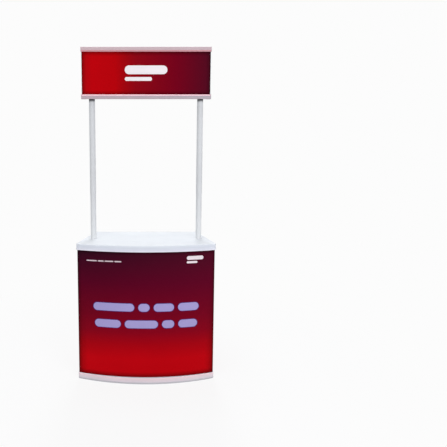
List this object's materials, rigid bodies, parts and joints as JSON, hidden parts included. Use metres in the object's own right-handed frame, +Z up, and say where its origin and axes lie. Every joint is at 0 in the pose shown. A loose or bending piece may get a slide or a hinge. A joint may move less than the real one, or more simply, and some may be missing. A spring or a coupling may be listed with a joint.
{
  "type": "promotional display counter",
  "caption": "Free-standing moulded plastic display counter: tray base, printed wrap with an open back, inner shelf, bow-fronted table top and a header board on two poles.",
  "frame": {"origin": "on the floor, at the centre of the whole object's box", "axes": "+Z up, -Y towards the customer's side with the bowed front, +X to the right seen from the front"},
  "size_m": [0.8098, 0.4039, 1.95],
  "materials": {
    "white_moulding": "smooth injection-moulded white polypropylene, satin",
    "wrap_sheet": "white extruded sheet, matt",
    "wrap_print": "printed film, dark wine at the top to red at the foot",
    "message_print": "printed pale blue",
    "message_edge": "printed dark blue",
    "white_print": "printed white",
    "panel_stud": "white push-in stud",
    "pole_plastic": "pale grey extruded tube, satin",
    "coupler_plastic": "moulded grey",
    "header_board": "white sheet, matt back",
    "header_print": "printed film, red at the left to dark wine at the right",
    "rail_plastic": "warm grey extruded rail, satin",
    "channel_plastic": "pale grey extruded channel",
    "bracket_plastic": "moulded white, satin",
    "screw_steel": "zinc-plated screw"
  },
  "bodies": {
    "root": {"base_tray": "white_moulding", "table_top": "white_moulding", "middle_shelf": "white_moulding", "wrap_panel": "wrap_sheet", "wrap_print": "wrap_print", "wrap_message_bars": "message_print", "wrap_message_edges": "message_edge", "wrap_small_print": "white_print", "wrap_badge": "white_print", "header_board": "header_board", "header_print": "header_print", "header_title": "white_print", "header_top_rail": "rail_plastic", "header_bottom_rail": "rail_plastic", "header_cap_screws": "screw_steel", "header_bracket_screws": "screw_steel", "panel_stud_left": "panel_stud", "lower_pole_left": "pole_plastic", "upper_pole_left": "pole_plastic", "pole_coupler_left": "coupler_plastic", "header_bracket_left": "bracket_plastic", "header_channel_left": "channel_plastic", "header_cap_top_left": "rail_plastic", "header_cap_bottom_left": "rail_plastic", "panel_stud_right": "panel_stud", "lower_pole_right": "pole_plastic", "upper_pole_right": "pole_plastic", "pole_coupler_right": "coupler_plastic", "header_bracket_right": "bracket_plastic", "header_channel_right": "channel_plastic", "header_cap_top_right": "rail_plastic", "header_cap_bottom_right": "rail_plastic"}
  },
  "joints": []
}
